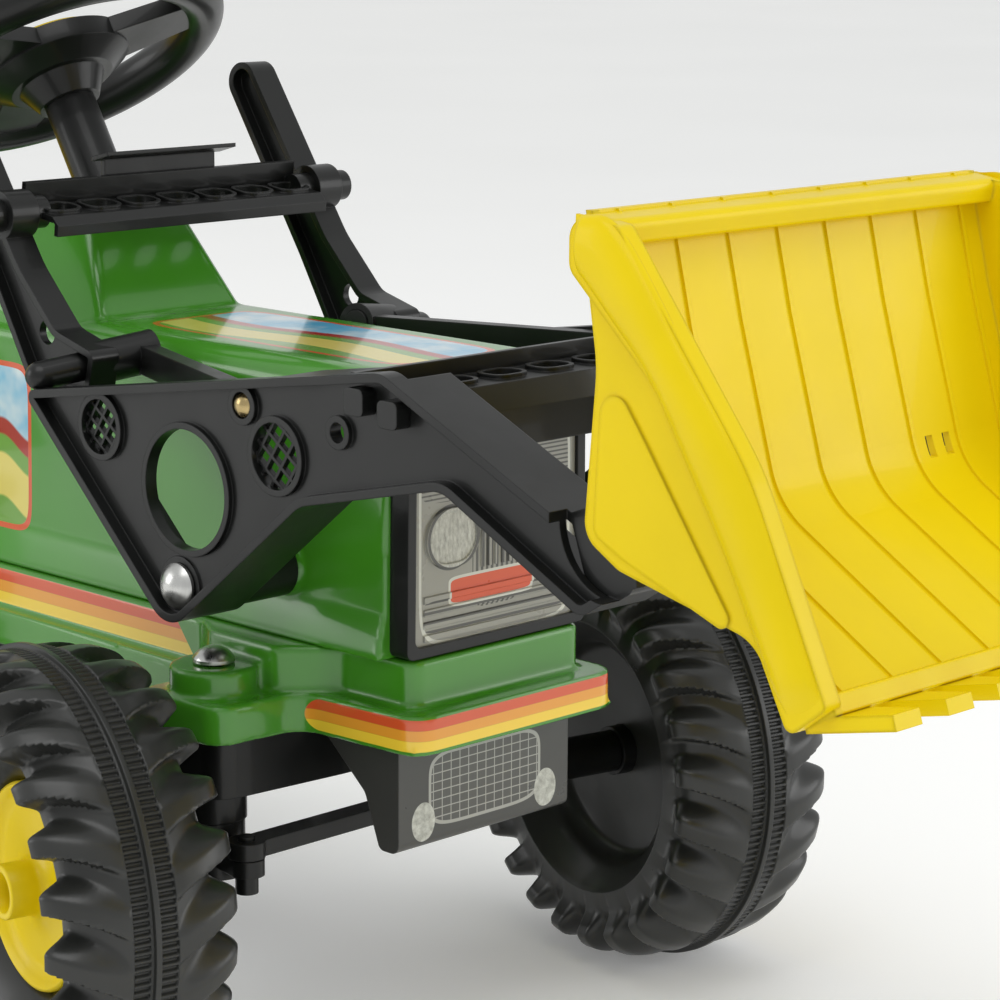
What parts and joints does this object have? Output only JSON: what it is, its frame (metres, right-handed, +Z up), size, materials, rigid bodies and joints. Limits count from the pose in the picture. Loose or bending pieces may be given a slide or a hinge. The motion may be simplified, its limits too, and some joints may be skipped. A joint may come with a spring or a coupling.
{
  "type": "pedal tractor with front loader",
  "caption": "Child's pedal tractor with a bonnet, steered front wheels, chain-driven rear axle and a hand-lever front loader with a tipping toothed bucket.",
  "frame": {"origin": "on the ground under the middle of the overall length and width", "axes": "+X forward towards the bucket, +Y to the rider's left, +Z up"},
  "size_m": [1.1232, 0.4992, 0.5287],
  "materials": {
    "green_plastic": "glossy moulded green",
    "black_plastic": "semi-gloss moulded black",
    "yellow_plastic": "semi-gloss moulded yellow",
    "tyre_plastic": "charcoal blow-moulded plastic",
    "grey_plastic": "grey panel",
    "steel": "zinc-plated steel"
  },
  "bodies": {
    "chassis": {"base_body": "green_plastic", "bonnet": "green_plastic", "grille_frame": "black_plastic", "grille_panel": "grey_plastic", "front_weight": "grey_plastic", "front_axle_beam": "black_plastic", "chassis": "black_plastic", "rear_body": "green_plastic", "fender_right": "green_plastic", "fender_left": "green_plastic", "seat": "yellow_plastic", "seat_bolts": "steel", "tow_hitch": "black_plastic", "crank_bushes": "black_plastic", "axle_bushes": "black_plastic", "drive_chain": "steel", "pivot_rod": "steel", "pivot_caps": "steel"},
    "steering": {"steering_rod": "steel", "column_sleeve": "black_plastic", "column_screw": "steel", "steering_wheel": "black_plastic", "steering_cap": "yellow_plastic"},
    "knuckle_right": {"knuckle_right": "black_plastic", "kingpin_cap_right": "steel", "front_retainer_right": "steel"},
    "knuckle_left": {"knuckle_left": "black_plastic", "kingpin_cap_left": "steel", "front_retainer_left": "steel"},
    "tie_rod": {"tie_rod": "black_plastic"},
    "front_wheel_right": {"front_tyre_right": "tyre_plastic", "front_rim_right": "yellow_plastic"},
    "front_wheel_left": {"front_tyre_left": "tyre_plastic", "front_rim_left": "yellow_plastic"},
    "rear_axle": {"rear_axle": "steel", "axle_sprocket": "steel", "rear_tyre_right": "tyre_plastic", "rear_rim_right": "yellow_plastic", "rear_tyre_left": "tyre_plastic", "rear_rim_left": "yellow_plastic"},
    "crank": {"crank_shaft": "steel", "crank_sprocket": "steel"},
    "pedal_right": {"pedal_right": "black_plastic"},
    "pedal_left": {"pedal_left": "black_plastic"},
    "loader": {"loader_arm_right": "black_plastic", "loader_arm_left": "black_plastic", "lever_right": "black_plastic", "lever_left": "black_plastic", "arm_bolts": "steel", "front_crossbeam": "black_plastic", "lever_crossbar": "black_plastic"},
    "bucket": {"bucket": "yellow_plastic"}
  },
  "joints": [
    {"name": "steering_turn", "type": "hinge", "parent": "chassis", "child": "steering", "pos_m": [0.10157, 0, 0.15], "axis": [-0.5299, 0, 0.848], "range_deg": [-6, 29.4]},
    {"name": "kingpin_right", "type": "hinge", "parent": "chassis", "child": "knuckle_right", "pos_m": [0.14456, -0.098, 0.15], "axis": [0, 0, 1], "range_deg": [-6, 29.4]},
    {"name": "kingpin_left", "type": "hinge", "parent": "chassis", "child": "knuckle_left", "pos_m": [0.14456, 0.098, 0.15], "axis": [0, 0, 1], "range_deg": [-6, 29.4]},
    {"name": "tie_rod_swing", "type": "hinge", "parent": "knuckle_right", "child": "tie_rod", "pos_m": [0.17394, -0.10408, 0.122], "axis": [0, 0, 1], "range_deg": [-29.4, 6]},
    {"name": "front_wheel_right_spin", "type": "hinge", "parent": "knuckle_right", "child": "front_wheel_right", "pos_m": [0.12672, -0.18417, 0.112], "axis": [0.2028, 0.9792, 0], "continuous": true},
    {"name": "front_wheel_left_spin", "type": "hinge", "parent": "knuckle_left", "child": "front_wheel_left", "pos_m": [0.16241, 0.18417, 0.112], "axis": [0.2028, 0.9792, 0], "continuous": true},
    {"name": "rear_axle_spin", "type": "hinge", "parent": "chassis", "child": "rear_axle", "pos_m": [-0.41043, 0, 0.145], "axis": [0, 1, 0], "continuous": true},
    {"name": "crank_spin", "type": "hinge", "parent": "chassis", "child": "crank", "pos_m": [-0.14344, 0, 0.16], "axis": [0, 1, 0], "continuous": true},
    {"name": "pedal_right_spin", "type": "hinge", "parent": "crank", "child": "pedal_right", "pos_m": [-0.14344, -0.13, 0.085], "axis": [0, 1, 0], "continuous": true},
    {"name": "pedal_left_spin", "type": "hinge", "parent": "crank", "child": "pedal_left", "pos_m": [-0.14344, 0.13, 0.235], "axis": [0, 1, 0], "continuous": true},
    {"name": "loader_lift", "type": "hinge", "parent": "chassis", "child": "loader", "pos_m": [0.15457, 0, 0.248], "axis": [0, 1, 0], "range_deg": [-3, 38]},
    {"name": "bucket_tilt", "type": "hinge", "parent": "loader", "child": "bucket", "pos_m": [0.42357, 0, 0.317], "axis": [0, 1, 0], "range_deg": [-15, 40]}
  ],
  "couplings": [
    {"joint": "kingpin_right", "follows": "steering_turn", "ratio": 1},
    {"joint": "kingpin_left", "follows": "steering_turn", "ratio": 1},
    {"joint": "tie_rod_swing", "follows": "steering_turn", "ratio": -1},
    {"joint": "crank_spin", "follows": "rear_axle_spin", "ratio": 0.47619}
  ]
}
